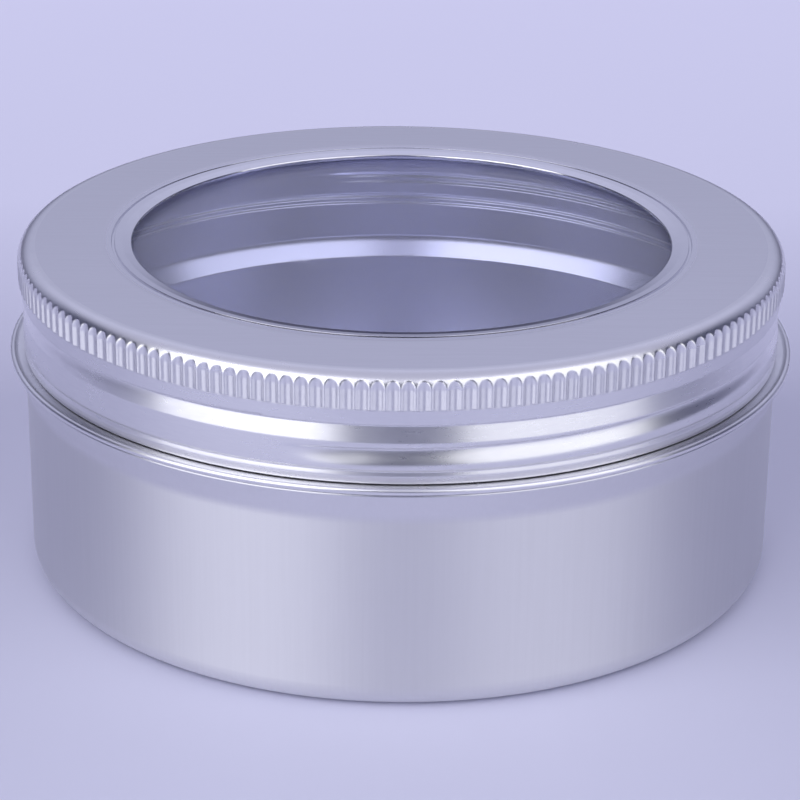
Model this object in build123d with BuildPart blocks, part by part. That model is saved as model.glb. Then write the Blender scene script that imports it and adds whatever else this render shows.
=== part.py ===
from build123d import *
import os
from math import cos, pi, radians, sin

# Round aluminium screw tin with a window in its lid, standing closed.
# Millimetres. Z runs up the axis, and the origin is on the axis where the tin stands.

# Sheet and edges
sheet = 0.4                 # drawn aluminium of the can and of the lid
wire_sides = 6              # flats round a curled edge
overrun = 1.0               # how far a cut runs past the face it leaves

# Can: a drawn cup with a rolled bead and a stepped-in neck
wall_radius = 41.05
base_corner = 2.6           # radius of the edge between wall and foot
base_flat_angle = 45        # where the flats of that edge meet, from the horizontal
foot_ring_width = 3.2       # from the base corner in to the recess
panel_recess = 0.6          # the bottom panel lies this far above the foot ring
wall_height = 21.2          # from the foot to where the wall starts to flare
shoulder_rise = 3.1         # from the end of the wall to the shoulder under the lid
flare_reach = 1.2           # how far the flare leads out to the shoulder's edge
bead_reach = 1.65           # how far the bead stands out from the wall
bead_wire = 0.45            # radius of the bead's rolled edge
bead_lift = 0.2             # the bead's centre above the shoulder
neck_step = 1.25            # how far the neck is set in from the wall
neck_height = 9.9           # from the shoulder to the rim
rim_wire = 0.5              # radius of the curled rim
rim_set_in = 0.1            # the curl's outside lies this far inside the neck
rim_taper = 0.8             # height of the cone under the curl

# Lid: a drawn shell with a knurled grip, a necked groove and a curled edge
thread_space = 1.0          # between the neck and the skirt, filled by the rolled threads
skirt_gap = 0.5             # from the shoulder to the lid's curled edge
edge_wire = 0.3             # radius of the lid's curled edge
edge_tuck = 0.45            # height over which the skirt turns in above the curl
edge_set_in = 0.2
top_corner = 1.6            # radius of the edge round the lid's top
top_flat_angles = (36, 63)  # where the flats of that edge meet, from the horizontal
knurl_count = 177
knurl_depth = 0.3
ridge_width = 0.3           # flat left between two flutes
flute_reach_share = 1.15    # how far past the ridges a flute's section is drawn
knurl_end_depth = 3.47      # below the lid's top
groove_top_depth = 5.23     # below the lid's top
groove_height = 1.9
groove_depth = 0.5
groove_lead = 0.5           # height of the groove's steep upper side

# Window: a clear disc held up against the lid by the seal's lip
window_inset = 12.0         # from the lid's outside in to the opening
flange_width = 1.9          # flat band round the opening, one step below the top
flange_step = 0.2
flange_slope = 0.1          # width of the step
hem_height = 0.9            # the opening's turned-down edge
pane_overlap = 4.1          # how far the disc reaches past the hem
pane_thickness = 0.5
pane_gap = 0.4              # round the disc, inside the seal's rabbet

# Seal: a ring liner between the lid's top and the can's rim
seal_thickness = 1.7
seal_lip = 2.1              # how far the lip reaches under the disc
seal_corner = 1.0           # bevel that clears the lid's inside corner
seal_gap = 0.5              # round the seal, inside the skirt

# Heights
shoulder_z = wall_height + shoulder_rise
rim_z = shoulder_z + neck_height
rim_centre_z = rim_z - rim_wire
seal_top_z = rim_z + seal_thickness
lid_top_z = seal_top_z + sheet
lid_edge_z = shoulder_z + skirt_gap
edge_centre_z = lid_edge_z + edge_wire
flange_z = lid_top_z - flange_step
hem_z = flange_z - hem_height
pane_bottom_z = hem_z - pane_thickness
knurl_end_z = lid_top_z - knurl_end_depth
groove_top_z = lid_top_z - groove_top_depth
groove_end_z = groove_top_z - groove_height

# Radii
neck_radius = wall_radius - neck_step
foot_ring_radius = wall_radius - base_corner
recess_radius = foot_ring_radius - foot_ring_width
bead_centre_radius = wall_radius + bead_reach - bead_wire
rim_centre_radius = neck_radius - rim_set_in - rim_wire
skirt_inner = neck_radius + thread_space
skirt_radius = skirt_inner + sheet
lid_radius = skirt_radius + knurl_depth
window_radius = lid_radius - window_inset
edge_radius = skirt_radius - edge_set_in - sheet / 2
hem_radius = window_radius + sheet
pane_radius = hem_radius + pane_overlap
flange_radius = window_radius + flange_width
seal_radius = skirt_inner - seal_gap
seal_bore_radius = pane_radius - seal_lip
rabbet_radius = pane_radius + pane_gap

# Flutes
knurl_pitch = 2 * pi * lid_radius / knurl_count
flute_depth = knurl_depth * flute_reach_share
flute_side = (knurl_pitch - ridge_width) / 2 * flute_reach_share


def on_edge(centre, radius, angle):
    """The point of a rounded edge's arc at an angle from the horizontal."""
    return (centre[0] + radius * cos(radians(angle)), centre[1] + radius * sin(radians(angle)))


# Can body: the outer skin is drawn from the axis up to the rim, and thickened inwards
with BuildPart() as can_body:
    with BuildSketch(Plane.XZ):
        with BuildLine():
            skin = Polyline(
                (0, panel_recess),
                (recess_radius, panel_recess),
                (recess_radius + panel_recess, 0),
                (foot_ring_radius, 0),
                on_edge((foot_ring_radius, base_corner), base_corner, -base_flat_angle),
                (wall_radius, base_corner),
                (wall_radius, wall_height),
                (wall_radius + flare_reach, shoulder_z),
                (neck_radius, shoulder_z),
                (neck_radius, rim_centre_z - rim_wire - rim_taper),
                (rim_centre_radius + sheet / 2, rim_centre_z),
            )
            offset(skin, amount=sheet, side=Side.LEFT, kind=Kind.INTERSECTION)
        make_face()
        with Locations((bead_centre_radius, shoulder_z + bead_lift)):
            RegularPolygon(bead_wire, wire_sides)
        with Locations((rim_centre_radius, rim_centre_z)):
            RegularPolygon(rim_wire, wire_sides, major_radius=False)
    revolve(axis=Axis.Z)
can_body.part.label = "can_body"

# Lid shell: outer and inner skins of one section, then the grip's flutes are cut in its edge
with BuildPart() as lid_shell:
    with BuildSketch(Plane.XZ):
        top_corner_centre = (lid_radius - top_corner, lid_top_z - top_corner)
        with BuildLine():
            outer = Polyline(
                (window_radius, hem_z),
                (window_radius, flange_z),
                (flange_radius, flange_z),
                (flange_radius + flange_slope, lid_top_z),
                (lid_radius - top_corner, lid_top_z),
                on_edge(top_corner_centre, top_corner, top_flat_angles[1]),
                on_edge(top_corner_centre, top_corner, top_flat_angles[0]),
                (lid_radius, lid_top_z - top_corner),
                (lid_radius, knurl_end_z),
                (skirt_radius, knurl_end_z),
                (skirt_radius, groove_top_z),
                (skirt_radius - groove_depth, groove_top_z - groove_lead),
                (skirt_radius, groove_end_z),
                (skirt_radius, edge_centre_z + edge_tuck),
                (skirt_radius - edge_set_in, edge_centre_z),
            )
            inner = Polyline(
                (hem_radius, hem_z),
                (hem_radius, flange_z - sheet),
                (flange_radius, flange_z - sheet),
                (flange_radius + flange_slope, seal_top_z),
                (skirt_inner - top_corner / 2, seal_top_z),
                (skirt_inner, seal_top_z - top_corner / 2),
                (skirt_inner, groove_top_z + sheet / 2),
                (skirt_inner - groove_depth, groove_top_z - groove_lead),
                (skirt_inner, groove_end_z - sheet / 2),
                (skirt_inner, edge_centre_z + edge_tuck),
                (skirt_inner - edge_set_in, edge_centre_z),
            )
            Line(outer @ 0, inner @ 0)
            Line(outer @ 1, inner @ 1)
        make_face()
        with Locations((edge_radius, edge_centre_z)):
            RegularPolygon(edge_wire, wire_sides, major_radius=False)
    revolve(axis=Axis.Z)
    with BuildSketch(Plane.XY.offset(knurl_end_z)):
        with PolarLocations(skirt_radius, knurl_count):
            Polygon((0, 0), (flute_depth, -flute_side), (flute_depth, flute_side), align=None)
    extrude(amount=knurl_end_depth + overrun, mode=Mode.SUBTRACT)
lid_shell.part.label = "lid_shell"

# Window pane: it rests against the hem's lower edge
with BuildPart() as window_pane:
    with BuildSketch(Plane.XY.offset(pane_bottom_z)):
        Circle(pane_radius)
    extrude(amount=pane_thickness)
window_pane.part.label = "window_pane"

# Seal liner: a ring with a rabbet for the disc, closed by the rim from below
with BuildPart() as seal_liner:
    with BuildSketch(Plane.XZ):
        with BuildLine():
            Polyline(
                (seal_bore_radius, rim_z),
                (seal_radius, rim_z),
                (seal_radius, seal_top_z - seal_corner),
                (seal_radius - seal_corner, seal_top_z),
                (rabbet_radius, seal_top_z),
                (rabbet_radius, pane_bottom_z),
                (seal_bore_radius, pane_bottom_z),
                close=True,
            )
        make_face()
    revolve(axis=Axis.Z)
seal_liner.part.label = "seal_liner"

os.makedirs("parts", exist_ok=True)
for piece in (can_body, lid_shell, window_pane, seal_liner):
    export_step(piece.part, f"parts/{piece.part.label}.step")
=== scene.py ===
import math

import bmesh
import bpy
import numpy as np
from mathutils import Matrix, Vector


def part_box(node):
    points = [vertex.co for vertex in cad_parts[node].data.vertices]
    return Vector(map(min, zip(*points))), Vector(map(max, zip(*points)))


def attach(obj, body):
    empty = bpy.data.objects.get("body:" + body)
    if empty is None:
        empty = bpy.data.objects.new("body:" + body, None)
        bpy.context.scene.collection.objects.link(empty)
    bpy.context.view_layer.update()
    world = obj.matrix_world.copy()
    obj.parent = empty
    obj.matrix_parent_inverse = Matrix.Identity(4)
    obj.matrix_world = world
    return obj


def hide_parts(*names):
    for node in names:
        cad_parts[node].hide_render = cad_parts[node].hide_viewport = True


# The looks of a round aluminium screw tin with a window in its lid.
# Sizes are in millimetres. An outline's points are (radius, height), and its corners are
# (radius, height, fillet). Azimuths are in degrees: 0 faces -Y, and they grow to the right.

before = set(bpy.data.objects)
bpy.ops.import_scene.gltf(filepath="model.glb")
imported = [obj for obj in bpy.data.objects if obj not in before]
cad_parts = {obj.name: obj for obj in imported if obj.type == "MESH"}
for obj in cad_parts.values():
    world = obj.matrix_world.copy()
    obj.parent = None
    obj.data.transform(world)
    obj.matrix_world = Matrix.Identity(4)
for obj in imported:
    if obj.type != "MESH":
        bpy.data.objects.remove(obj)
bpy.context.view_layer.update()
MM = 0.001


def span(node):
    """Outer radius, lowest and highest point of a CAD node, in millimetres."""
    low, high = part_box(node)
    return high.x / MM, low.z / MM, high.z / MM


bead_radius, foot_z, rim_z = span("can_body")
lid_radius, lid_edge_z, lid_top_z = span("lid_shell")
pane_radius, pane_bottom_z, pane_top_z = span("window_pane")
seal_radius, seal_bottom_z, seal_top_z = span("seal_liner")
sheet = lid_top_z - seal_top_z

# Can: wall and foot
neck_radius = lid_radius - 1.7
wall_radius = neck_radius + 1.25
shoulder_z = rim_z - 9.9
wall_top_z = shoulder_z - 3.1           # the wall flares out above this height
flare_fillet = 3.0
base_corner = 2.6
foot_inner = wall_radius - base_corner - 2.6
panel_rise = 0.6                        # the bottom panel lies this far above the foot
panel_slope = 0.7                       # width of the step from the foot up to the panel
panel_fillet, foot_fillet = 0.5, 0.3

# Can: the bead under the lid, and the shelf between the bead and the neck
bead_wire = 0.36
bead_margin = 0.02                      # keeps the bead inside the solid's box
bead_centre = (bead_radius - bead_wire - bead_margin, shoulder_z + 0.34)
crease = (bead_centre[0] - 0.3, bead_centre[1] - 0.3)
shelf_z = lid_edge_z - 0.09

# Can: neck, rim and the fold round the inside
neck_start_z = shoulder_z + 1.6
neck_end_z = rim_z - 1.9
neck_relief_top_z = rim_z - 3.0         # the thread's rings reach up to here
rim_wire = 0.5
rim_centre = (neck_radius - 0.1 - rim_wire, rim_z - rim_wire)
inner_neck_top_z = rim_z - 1.6
inner_neck_end_z = shoulder_z + 0.7
fold_z = wall_top_z + 1.05
fold_slope_z = fold_z - 0.5
fold_end_z = fold_z - 2.85
fold_inset = 1.4                        # the fold's lower edge lies this far inside the wall
bowl_inset = 1.0                        # the inside below it leans out to this

# Lid: grip and skirt
skirt_radius = lid_radius - 0.3
inner_skirt_radius = skirt_radius - sheet
shoulder_corner = 1.6
knurl_end_z = lid_top_z - 3.47
knurl_count = 177
flute_half_width = 0.61
flute_power = 2.5                       # over 2, it flattens the flute's bottom
ridge_end_reach = 0.3                   # the ridges end this far below knurl_end_z
ridge_end_length = 0.2
ridge_blend = 0.03
# Heights of the grip's rings over knurl_end_z, closest together where the ridges end
grip_rings = (1.47, 1.07, 0.67, 0.37, 0.17, 0.07, 0, -0.06, -0.12, -0.18, -0.24, -0.3, -0.35)
skirt_top_z = knurl_end_z - 0.43
skirt_relief_top_z = lid_edge_z + 6.4
edge_wire = 0.24
edge_centre = (skirt_radius - 0.33, lid_edge_z + edge_wire)
edge_tuck_z = edge_centre[1] + 0.6      # the skirt turns in to the curl below this height

# Lid: the flange slopes up from the opening to a slot, and the level top lies outside that
window_radius = lid_radius - 12.3
flange_radius = lid_radius - 10.1
hem_end_z = pane_top_z + 0.03
hem_reach = 0.75                        # the turned-down edge leads out this far to the disc
slot_width = 0.3
slot_z = lid_top_z - 0.34
slot_lean = 0.02
top_start = (flange_radius + 0.6, lid_top_z - 0.02)
top_level = (flange_radius + 1.1, lid_top_z)

# Grooves all round the skirt, as (height over the lid's edge, how far they are pressed in)
skirt_grooves = [(0.8, 0.0), (1.35, 0.14), (1.55, 0.01), (4.3, 0.11), (6.0, 0.54), (6.3, 0.0)]

# Rolled threads: the lid's is pressed in, the can's is pressed out, and both rise to the right
pitch = 2.7
ring_step = 0.08                        # height between the rings that carry a thread
lid_thread_z = lid_edge_z + 3.5         # its crest at azimuth 0
lid_thread_depth = 0.55
lid_thread_start = -19.0
lid_thread_run_in = 14.0
lid_thread_fade, lid_thread_fade_start, lid_thread_fade_length = 0.12, 260.0, 100.0
lid_thread_upper_side, lid_thread_lower_side = 0.5, 1.7
groove_blend = 0.06
can_thread_z = shoulder_z + 3.05        # its crest at azimuth 180
can_thread_height = 0.45
can_thread_start, can_thread_end = -20.0, 560.0
can_thread_run_in = 30.0
can_thread_flank, can_thread_step = 0.4, 0.65

# Disc and seal
pane_corner = 0.12
seal_bore = pane_radius - 0.9
seal_rabbet = pane_radius + 0.4
seal_seam = seal_bore + 1.5
seal_bevel = 1.0

# Points round each ring. The lid's are multiples of its flutes.
can_around, pane_around, seal_around = 360, 236, 180
lid_around, skirt_around, grip_around = 2 * knurl_count, 4 * knurl_count, 12 * knurl_count


def rounded(corners, step=10.0, margin=0.05):
    """An outline with its corners turned on arcs, and a point beside each arc."""
    points = [np.array(corners[0][:2], float)]
    for before, corner, after in zip(corners, corners[1:], corners[2:]):
        here = np.array(corner[:2], float)
        back = np.array(before[:2], float) - here
        ahead = np.array(after[:2], float) - here
        back_room, ahead_room = np.linalg.norm(back), np.linalg.norm(ahead)
        back /= back_room
        ahead /= ahead_room
        turn = math.pi - math.acos(max(-1.0, min(1.0, float(back @ ahead))))
        reach = corner[2] * math.tan(turn / 2)
        if reach + margin < back_room / 2:
            points.append(here + back * (reach + margin))
        start, end = here + back * reach, here + ahead * reach
        middle = (back + ahead) / np.linalg.norm(back + ahead)
        centre = here + middle * corner[2] / math.cos(turn / 2)
        count = max(2, math.ceil(math.degrees(turn) / step))
        for i in range(count + 1):
            part = i / count
            a, b = math.sin((1 - part) * turn), math.sin(part * turn)
            points.append(centre + ((start - centre) * a + (end - centre) * b) / math.sin(turn))
        if reach + margin < ahead_room / 2:
            points.append(here + ahead * (reach + margin))
    points.append(np.array(corners[-1][:2], float))
    return points


def arc(centre, radius, first, last, step=10.0):
    """Points round a centre, from one angle to another, in degrees from the horizontal."""
    count = max(2, math.ceil(abs(last - first) / step))
    angles = np.radians(np.linspace(first, last, count + 1))
    return [np.array(centre) + radius * np.array((math.cos(a), math.sin(a))) for a in angles]


def upright(radius, heights):
    """A straight outline at one radius."""
    return [np.array((radius, z)) for z in heights]


def filled(points, low, high, step):
    """The same outline with more points where it runs between two heights."""
    result = [points[0]]
    for before, here in zip(points, points[1:]):
        top, bottom = max(before[1], here[1]), min(before[1], here[1])
        if top > low and bottom < high:
            count = max(1, math.ceil((top - bottom) / step))
            for i in range(1, count):
                result.append(before + (here - before) * i / count)
        result.append(here)
    return result


def ease(x):
    """From 0 to 1 with a soft start and end."""
    x = np.clip(x, 0.0, 1.0)
    return x * x * (3 - 2 * x)


def smooth_min(a, b, width):
    """The smaller of the two, rounded off where they cross."""
    h = np.clip(0.5 + 0.5 * (b - a) / width, 0, 1)
    return b * (1 - h) + a * h - width * h * (1 - h)


def pressed_in(azimuth, r, z):
    """The skirt's radius, with its grooves and one turn of thread."""
    heights, depths = zip(*skirt_grooves)
    groove = np.interp(z - lid_edge_z, heights, depths)
    turned = (azimuth - lid_thread_start) % 360.0
    above = z - lid_thread_z - pitch * (turned + lid_thread_start) / 360.0
    fade = lid_thread_fade * ease((turned - lid_thread_fade_start) / lid_thread_fade_length)
    strength = ease(turned / lid_thread_run_in) * (1 - fade)
    upper = 1 - ease(above / lid_thread_upper_side)
    low = -above / lid_thread_lower_side
    lower = 0.5 * (1 - ease(low)) + 0.5 * np.clip(1 - low, 0, 1)
    thread = lid_thread_depth * strength * np.where(above > 0, upper, lower)
    return r + smooth_min(-groove, -thread, groove_blend)


def pressed_out(azimuth, r, z):
    """The neck's radius, with its thread of about a turn and a half."""
    height = np.zeros_like(azimuth)
    for turn in (-1, 0, 1):
        turned = azimuth + 360.0 * turn
        below = can_thread_z + pitch * (turned - 180.0) / 360.0 - z
        run_in = ease((turned - can_thread_start) / can_thread_run_in)
        run_out = ease((can_thread_end - turned) / can_thread_run_in)
        first = ease(below / can_thread_flank)
        second = ease((below - can_thread_step) / can_thread_flank)
        upper = 1 - ease(-below / can_thread_flank)
        section = np.where(below < 0, upper, 1 - 0.5 * first - 0.5 * second)
        height = np.maximum(height, can_thread_height * run_in * run_out * section)
    return r + height


def knurl(azimuth, r, z):
    """The grip's radius, with its flutes, which run out through the rounded shoulder."""
    pitch_angle = 360.0 / knurl_count
    across = ((azimuth / pitch_angle) % 1.0 - 0.5) * math.radians(pitch_angle) * lid_radius
    depth = lid_radius - skirt_radius
    flute = skirt_radius + depth * (np.abs(across) / flute_half_width) ** flute_power
    over_end = z - knurl_end_z + ridge_end_reach
    end = skirt_radius + depth * ease(over_end / ridge_end_length)
    return smooth_min(np.full_like(azimuth, min(r, end)), flute, ridge_blend)


def ring(r, z, count, form):
    """One ring of points round the axis, in metres. On the axis it is one point."""
    if r == 0:
        return np.array([[0.0, 0.0, z]]) * MM
    azimuth = np.arange(count) * 360.0 / count
    radius = form(azimuth, r, z) if form else np.full(count, r)
    a = np.radians(azimuth)
    return np.stack([radius * np.sin(a), -radius * np.cos(a), np.full(count, z)], axis=1) * MM


def joining(first, n, second, m):
    """Faces between a ring of n points and one of m, where one count divides the other."""
    if n == m:
        steps = [(i, (i + 1) % n) for i in range(n)]
        return [(first + i, first + j, second + j, second + i) for i, j in steps]
    if n > m:
        return [face[::-1] for face in joining(second, m, first, n)]
    if n == 1:
        return [(first, second + (i + 1) % m, second + i) for i in range(m)]
    share = m // n
    faces = []
    for j in range(n):
        here, following = first + j, first + (j + 1) % n
        for i in range(share):
            near = here if i < share // 2 else following
            faces.append((near, second + (j * share + i + 1) % m, second + (j * share + i) % m))
        faces.append((here, following, second + j * share + share // 2))
    return faces


def revolved(name, stretches, body, node, closed=True):
    """A piece made of rings. A stretch is (points, count, form, material)."""
    rings, finishes, materials = [], [], []
    for points, count, form, material in stretches:
        if material not in materials:
            materials.append(material)
        for r, z in points:
            rings.append(ring(r, z, count, form))
            finishes.append(materials.index(material))
    starts = np.cumsum([0] + [len(x) for x in rings])
    faces, face_finishes = [], []
    for i in range(len(rings) if closed else len(rings) - 1):
        j = (i + 1) % len(rings)
        made = joining(int(starts[i]), len(rings[i]), int(starts[j]), len(rings[j]))
        faces += made
        face_finishes += [finishes[j]] * len(made)
    mesh = bpy.data.meshes.new(name)
    mesh.from_pydata(np.concatenate(rings).tolist(), [], faces)
    mesh.polygons.foreach_set("material_index", face_finishes)
    shape = bmesh.new()
    shape.from_mesh(mesh)
    bmesh.ops.recalc_face_normals(shape, faces=shape.faces)
    shape.to_mesh(mesh)
    shape.free()
    mesh.shade_smooth()
    for material in materials:
        mesh.materials.append(material)
    piece = bpy.data.objects.new(name, mesh)
    bpy.context.scene.collection.objects.link(piece)
    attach(piece, body)
    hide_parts(node)
    return piece


class Nodes:
    """The nodes of a material or world, with short calls for those used here."""

    def __init__(self, owner, shader="Principled BSDF"):
        owner.use_nodes = True
        self.owner = owner
        self.tree = owner.node_tree
        self.shader = self.tree.nodes[shader]

    def put(self, socket, value):
        """Gives a socket a link or a number."""
        if isinstance(value, bpy.types.NodeSocket):
            self.tree.links.new(value, socket)
        else:
            socket.default_value = value

    def finish(self, **inputs):
        """Sets the shader's inputs, with _ for a space in their names."""
        for key, value in inputs.items():
            self.put(self.shader.inputs[key.replace("_", " ")], value)

    def add(self, kind, **inputs):
        """A new node with its inputs set, with _ for a space in their names."""
        node = self.tree.nodes.new(kind)
        for key, value in inputs.items():
            self.put(node.inputs[key.replace("_", " ")], value)
        return node

    def place(self, scale):
        """Object coordinates in millimetres, each axis times its share of scale."""
        where = self.add("ShaderNodeTexCoord").outputs["Object"]
        stretch = self.add("ShaderNodeMapping", Vector=where, Scale=[x / MM for x in scale])
        return stretch.outputs["Vector"]

    def axes(self, vector):
        """The X, Y and Z of a vector."""
        return self.add("ShaderNodeSeparateXYZ", Vector=vector).outputs

    def noise(self, scale, detail=3.0, roughness=0.5):
        where = self.place(scale)
        node = self.add(
            "ShaderNodeTexNoise", Vector=where, Scale=1.0, Detail=detail, Roughness=roughness
        )
        return node.outputs["Fac"]

    def ranged(self, value, low, high, to_low=0.0, to_high=1.0, soft=False):
        """A value between low and high, brought between two other numbers."""
        node = self.add(
            "ShaderNodeMapRange", Value=value,
            From_Min=low, From_Max=high, To_Min=to_low, To_Max=to_high,
        )
        node.interpolation_type = "SMOOTHSTEP" if soft else "LINEAR"
        return node.outputs["Result"]

    def between(self, share, first, second):
        """A colour between two, by share."""
        node = self.tree.nodes.new("ShaderNodeMix")
        node.data_type = "RGBA"
        self.put(node.inputs[0], share)
        for socket, value in ((node.inputs[6], first), (node.inputs[7], second)):
            self.put(socket, value if isinstance(value, bpy.types.NodeSocket) else (*value, 1))
        return node.outputs[2]

    def math(self, operation, first, second):
        node = self.tree.nodes.new("ShaderNodeMath")
        node.operation = operation
        self.put(node.inputs[0], first)
        self.put(node.inputs[1], second)
        return node.outputs[0]

    def bump(self, height, distance):
        """A normal for relief of a height in millimetres."""
        node = self.add("ShaderNodeBump", Height=height, Strength=1.0, Distance=distance * MM)
        return node.outputs["Normal"]


def aluminium(
    name, colour, darker, grain, roughness, spread, depth, fineness=1.0, turned=0.0, flare=0.0
):
    """Bare aluminium with a grain: fine marks along one direction, over slow cloudy patches.
    A turned surface has fine rings round the axis, so that its shine spreads up and down.
    Where a wall flares out to its bead, its roughness is less by flare."""
    n = Nodes(bpy.data.materials.new(name))
    marks = n.noise(grain, detail=4.0, roughness=0.6)
    clouds = n.noise([0.06 * fineness] * 3, detail=2.0)
    mixed = n.math("ADD", n.math("MULTIPLY", marks, 0.6), n.math("MULTIPLY", clouds, 0.4))
    rough = n.ranged(mixed, 0.3, 0.7, roughness + spread, roughness - spread)
    if flare:
        height = n.axes(n.place((1, 1, 1)))["Z"]
        smoother = n.ranged(height, wall_top_z - 0.6, wall_top_z + 0.5, 0, flare)
        rough = n.math("SUBTRACT", rough, smoother)
    n.finish(
        Base_Color=n.between(n.ranged(mixed, 0.35, 0.65), darker, colour),
        Metallic=1.0, Roughness=rough, Normal=n.bump(marks, depth),
    )
    if turned:
        tangent = n.add("ShaderNodeTangent")
        tangent.direction_type, tangent.axis = "RADIAL", "Z"
        n.finish(Anisotropic=turned, Anisotropic_Rotation=0.25, Tangent=tangent.outputs[0])
    return n.owner


satin_top = aluminium(
    "satin_top", colour=(0.79, 0.79, 0.83), darker=(0.76, 0.76, 0.80),
    grain=(0.12, 2.2, 1.0), roughness=0.33, spread=0.04, depth=0.0008,
)
window_rim = aluminium(
    "window_rim", colour=(0.84, 0.84, 0.88), darker=(0.81, 0.81, 0.85),
    grain=(0.5, 0.5, 3.0), fineness=2.0, roughness=0.13, spread=0.02, depth=0.0003,
)
polished = aluminium(
    "polished_edge", colour=(0.86, 0.86, 0.88), darker=(0.82, 0.82, 0.85),
    grain=(0.5, 0.5, 3.0), fineness=2.0, roughness=0.29, spread=0.03, depth=0.0003, turned=0.5,
)
knurled = aluminium(
    "knurled", colour=(0.88, 0.88, 0.90), darker=(0.82, 0.82, 0.85),
    grain=(1.6, 1.6, 1.6), fineness=3.0, roughness=0.36, spread=0.03, depth=0.004, turned=0.9,
)
drawn_wall = aluminium(
    "drawn_wall", colour=(0.79, 0.79, 0.815), darker=(0.77, 0.77, 0.795),
    grain=(2.4, 2.4, 0.05), roughness=0.50, spread=0.008, depth=0.00005, turned=0.7, flare=0.2,
)
inside = aluminium(
    "inside", colour=(0.79, 0.80, 0.945), darker=(0.78, 0.79, 0.935),
    grain=(0.8, 0.8, 0.8), roughness=0.26, spread=0.01, depth=0.0001,
)


def clear_plastic():
    """The window: clear and glossy, faintly blue, with a few soft smears."""
    n = Nodes(bpy.data.materials.new("clear_plastic"))
    smears = n.noise((0.12, 0.3, 0.3), detail=3.0, roughness=0.6)
    n.finish(
        Base_Color=n.between(smears, (0.88, 0.89, 1.0), (0.93, 0.94, 1.0)),
        Roughness=n.ranged(smears, 0.55, 0.75, 0.0, 0.10),
        IOR=1.12, Transmission_Weight=0.93,
    )
    return n.owner


def foam():
    """The seal: a matt closed-cell foam."""
    n = Nodes(bpy.data.materials.new("foam"))
    cells = n.noise((5.0, 5.0, 5.0), detail=2.0)
    n.finish(
        Base_Color=n.between(cells, (0.78, 0.78, 0.76), (0.88, 0.88, 0.87)),
        Roughness=0.8, Normal=n.bump(cells, 0.05),
    )
    return n.owner


def make_lid():
    """The lid, from the hem round the opening over the outside, and back inside."""
    flange = rounded(
        [
            (window_radius + hem_reach, hem_end_z, 0),
            (window_radius, lid_top_z - 0.62, 0.34),
            (window_radius + 0.03, lid_top_z - 0.25, 0.17),
            (window_radius + 1.1, lid_top_z - 0.08, 0.8),
            (flange_radius - slot_width - slot_lean, lid_top_z - 0.01, 0.03),
            (flange_radius - slot_width, slot_z, 0.04),
            (flange_radius, slot_z, 0.04),
            (flange_radius + slot_lean, lid_top_z - 0.04, 0.03),
            (*top_start, 0),
        ]
    )
    top_end = (lid_radius - shoulder_corner - 0.35, lid_top_z, 0)
    top = rounded([(*top_start, 0), (*top_level, 1.5), top_end])[1:]
    shoulder_centre = (lid_radius - shoulder_corner, lid_top_z - shoulder_corner)
    shoulder = arc(shoulder_centre, shoulder_corner, 90, 0, 6)
    grip = upright(lid_radius, [knurl_end_z + x for x in grip_rings])
    skirt = upright(skirt_radius, (skirt_top_z, skirt_relief_top_z, edge_tuck_z))
    curl = arc(edge_centre, edge_wire, 20, -190, 15)
    inner_skirt_top_z = lid_top_z - 3.3
    inner_skirt = upright(
        inner_skirt_radius, (edge_tuck_z, skirt_relief_top_z, inner_skirt_top_z)
    )
    inner_top = rounded(
        [
            (inner_skirt_radius, inner_skirt_top_z + 1.0, 0),
            (inner_skirt_radius, seal_top_z, 0.8),
            (flange_radius + 0.3, seal_top_z, 0.08),
            (flange_radius - 0.1, slot_z - sheet, 0.06),
            (flange_radius - 0.5, seal_top_z - 0.05, 0.06),
            (window_radius + 1.2, seal_top_z - 0.1, 0.3),
            (window_radius + 1.0, hem_end_z, 0),
        ]
    )
    relief = (edge_tuck_z, skirt_relief_top_z + ring_step)
    return revolved(
        "window_lid",
        [
            (flange, lid_around, None, window_rim),
            (top, lid_around, None, satin_top),
            (shoulder, grip_around, knurl, polished),
            (grip, grip_around, knurl, knurled),
            (filled(skirt, *relief, ring_step), skirt_around, pressed_in, polished),
            (curl, lid_around, None, polished),
            (filled(inner_skirt, *relief, 2 * ring_step), lid_around, pressed_in, inside),
            (inner_top, lid_around, None, inside),
        ],
        "lid", "lid_shell",
    )


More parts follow.
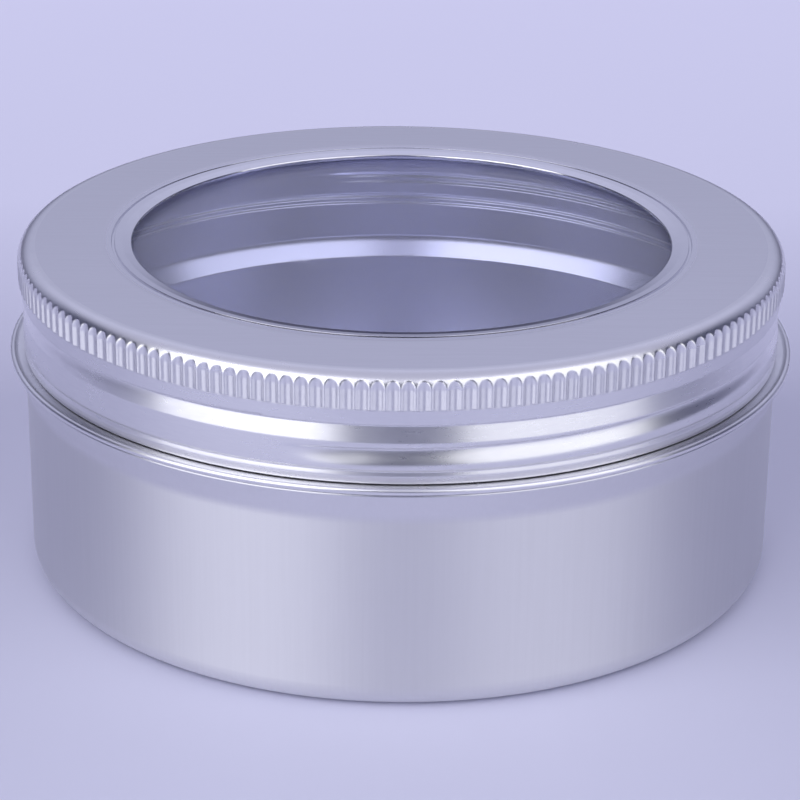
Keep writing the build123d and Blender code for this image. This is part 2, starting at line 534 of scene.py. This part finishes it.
def make_can():
    """The can, from the middle of its foot up the outside to the rim, and down inside."""
    base = rounded(
        [
            (0, panel_rise, 0),
            (foot_inner - panel_slope, panel_rise, panel_fillet),
            (foot_inner, foot_z, foot_fillet),
            (wall_radius, foot_z, base_corner),
            (wall_radius, wall_top_z / 2, 0),
        ]
    )
    wall = rounded(
        [
            (wall_radius, wall_top_z / 2, 0),
            (wall_radius, wall_top_z, flare_fillet),
            (bead_centre[0] + 0.05, shoulder_z - 0.2, 0.25),
            (*crease, 0.05),
            (crease[0] + 0.12, crease[1] + 0.02, 0),
        ]
    )[1:]
    bead = arc(bead_centre, bead_wire, -60, 110, 12)
    shelf = rounded(
        [
            (bead_centre[0] - 0.2, bead_centre[1] + 0.22, 0),
            (bead_centre[0] - 0.5, shelf_z + 0.02, 0.3),
            (neck_radius, shelf_z, 0.4),
            (neck_radius, neck_start_z - 0.1, 0),
        ]
    )
    neck = upright(neck_radius, (neck_start_z, neck_relief_top_z, neck_end_z))
    rim = arc(rim_centre, rim_wire, 10, 190, 12)
    inner = neck_radius - sheet
    inner_neck = upright(inner, (inner_neck_top_z, neck_relief_top_z, inner_neck_end_z))
    fold = rounded(
        [
            (inner, inner_neck_end_z - 0.2, 0),
            (inner, fold_z, 0.15),
            (wall_radius - 0.1, fold_slope_z, 0.1),
            (wall_radius - fold_inset, fold_end_z, 0.3),
            (wall_radius - bowl_inset, wall_top_z / 2, 0),
        ]
    )
    bowl = rounded(
        [
            (wall_radius - bowl_inset, wall_top_z / 2, 0),
            (wall_radius - sheet, foot_z + sheet, base_corner - sheet),
            (foot_inner + 0.1, foot_z + sheet, foot_fillet),
            (foot_inner + 0.1 - panel_slope, panel_rise + sheet, panel_fillet),
            (0, panel_rise + sheet, 0),
        ]
    )[1:]
    relief = (shelf_z, neck_relief_top_z, ring_step)
    return revolved(
        "tin_body",
        [
            (base + wall, can_around, None, drawn_wall),
            (bead + shelf, can_around, None, polished),
            (filled(neck, *relief), can_around, pressed_out, polished),
            (rim, can_around, None, polished),
            (filled(inner_neck, *relief), can_around, pressed_out, inside),
            (fold + bowl, can_around, None, inside),
        ],
        "can", "can_body", closed=False,
    )


def make_pane():
    """The clear disc behind the opening."""
    section = rounded(
        [
            (0, pane_bottom_z, 0),
            (pane_radius, pane_bottom_z, pane_corner),
            (pane_radius, pane_top_z, pane_corner),
            (0, pane_top_z, 0),
        ]
    )
    stretches = [(section, pane_around, None, clear_plastic())]
    return revolved("window_disc", stretches, "lid", "window_pane", closed=False)


def make_seal():
    """The ring between the lid and the rim, with a rabbet that holds the disc."""
    section = rounded(
        [
            (seal_seam, seal_bottom_z, 0),
            (seal_radius, seal_bottom_z, 0.15),
            (seal_radius, seal_top_z - seal_bevel, 0.2),
            (seal_radius - seal_bevel, seal_top_z, 0.2),
            (seal_rabbet, seal_top_z, 0.12),
            (seal_rabbet, pane_bottom_z, 0.05),
            (seal_bore, pane_bottom_z, 0.1),
            (seal_bore, seal_bottom_z, 0.1),
            (seal_seam, seal_bottom_z, 0),
        ]
    )[:-1]
    stretches = [(section, seal_around, None, foam())]
    return revolved("ring_seal", stretches, "seal", "seal_liner")


make_can()
make_lid()
make_pane()
make_seal()

# Room: a pale floor, two large soft lamps in front and a soft surround. Places are in metres.
scene = bpy.context.scene
scene.view_settings.view_transform = "Standard"
floor_half_width, floor_far_side = 3.0, 1.0
floor_near, floor_far = (0.665, 0.67, 0.81), (0.83, 0.82, 0.99)
floor_fade = (-0.15, 0.25)              # from the near colour to the far one, along Y
floor_patches = 0.04
painted_floor_shade = (0.42, 0.42, 0.53)        # painted shade on the floor at both sides of the tin
shade_across = (0.015, 0.06, 0, 0.5)    # it grows away from the middle
shade_middle_y = 0.01
shade_along = (0.03, 0.11, 1, 0)        # and fades towards the front and the back
lamp_colour = (0.97, 0.975, 1.0)
lamp_distance = 3.0


def make_floor():
    """The floor, lighter further off, with painted shade beside the tin."""
    side, far = floor_half_width, floor_far_side
    corners = [(-side, -side, 0), (side, -side, 0), (side, far, 0), (-side, far, 0)]
    mesh = bpy.data.meshes.new("floor")
    mesh.from_pydata(corners, [], [(0, 1, 2, 3)])
    n = Nodes(bpy.data.materials.new("floor"))
    patches = n.noise((0.01, 0.01, 0.01))
    where = n.axes(n.place((MM, MM, MM)))
    uneven = n.ranged(patches, 0, 1, -floor_patches, floor_patches)
    depth = n.math("ADD", n.ranged(where["Y"], *floor_fade), uneven)
    # Painted shade: the floor's colour darkens beside the tin, standing in for the shade that
    # falls around it.
    beside = n.ranged(n.math("ABSOLUTE", where["X"], 0), *shade_across)
    along = n.math("ABSOLUTE", n.math("SUBTRACT", where["Y"], shade_middle_y), 0)
    shade = n.math("MULTIPLY", beside, n.ranged(along, *shade_along))
    n.finish(
        Base_Color=n.between(shade, n.between(depth, floor_near, floor_far), painted_floor_shade),
        Roughness=0.9, Specular_IOR_Level=0.0,
    )
    mesh.materials.append(n.owner)
    floor = bpy.data.objects.new("floor", mesh)
    scene.collection.objects.link(floor)


def make_world():
    """A lavender backdrop behind the tin, brighter higher up, in a dim room."""
    n = Nodes(bpy.data.worlds.new("surround"), "Background")
    scene.world = n.owner
    where = n.axes(n.add("ShaderNodeTexCoord").outputs["Generated"])
    up, back = where["Z"], where["Y"]
    wall = n.between(n.ranged(up, 0.0, 0.7, soft=True), (0.30, 0.31, 0.45), (0.62, 0.63, 0.84))
    backdrop = n.between(n.ranged(up, 0.04, 0.24, soft=True), (0.04, 0.04, 0.08), wall)
    above = n.ranged(up, 0.5, 0.75, soft=True)
    room = n.between(above, (0.035, 0.04, 0.09), (0.50, 0.50, 0.66))
    n.finish(Color=n.between(n.ranged(back, 0.3, 0.8, soft=True), room, backdrop))


def put_at(thing, place, side, up, back):
    """Links a lamp or a camera, at a place and with its own axes along side, up and back."""
    turn = Matrix([[side[i], up[i], back[i]] for i in range(3)]).to_4x4()
    thing.matrix_world = Matrix.Translation([float(x) for x in place]) @ turn
    scene.collection.objects.link(thing)


def make_lamp(name, azimuth, elevation, width, height, radiance):
    """A soft rectangular lamp that faces the tin, hidden from the camera."""
    light = bpy.data.lights.new(name, "AREA")
    light.shape = "RECTANGLE"
    light.size, light.size_y = width, height
    light.energy = radiance * math.pi * width * height
    light.color = lamp_colour
    lamp = bpy.data.objects.new(name, light)
    lamp.visible_camera = False
    a, e = math.radians(azimuth), math.radians(elevation)
    towards = np.array((math.sin(a) * math.cos(e), -math.cos(a) * math.cos(e), math.sin(e)))
    side = np.array((math.cos(a), math.sin(a), 0.0))
    put_at(lamp, towards * lamp_distance, side, np.cross(towards, side), towards)


make_floor()
make_world()
make_lamp("left_lamp", azimuth=-46, elevation=29, width=3.3, height=3.5, radiance=1.65)
make_lamp("right_lamp", azimuth=46, elevation=29, width=3.4, height=3.5, radiance=1.15)

# Camera: fitted to the photograph's outlines. Its place is in millimetres, its angles in radians.
camera_place = (-0.508, -280.56, 132.82)
camera_pitch, camera_yaw, camera_roll = 0.3925, 0.0018, 0.0102
focal_pixels, photo_width, sensor = 2724.9, 800, 36.0


def make_camera():
    """The camera. Pitch looks down, yaw turns right and roll leans left."""
    data = bpy.data.cameras.new("camera")
    data.sensor_width = sensor
    data.lens = focal_pixels / photo_width * sensor
    camera = bpy.data.objects.new("camera", data)
    p, w, k = camera_pitch, camera_yaw, camera_roll
    ahead = np.array((math.sin(w) * math.cos(p), math.cos(w) * math.cos(p), -math.sin(p)))
    level_side = np.array((math.cos(w), -math.sin(w), 0.0))
    level_up = np.cross(level_side, ahead)
    side = math.cos(k) * level_side + math.sin(k) * level_up
    up = math.cos(k) * level_up - math.sin(k) * level_side
    put_at(camera, [x * MM for x in camera_place], side, up, -ahead)
    scene.camera = camera


make_camera()
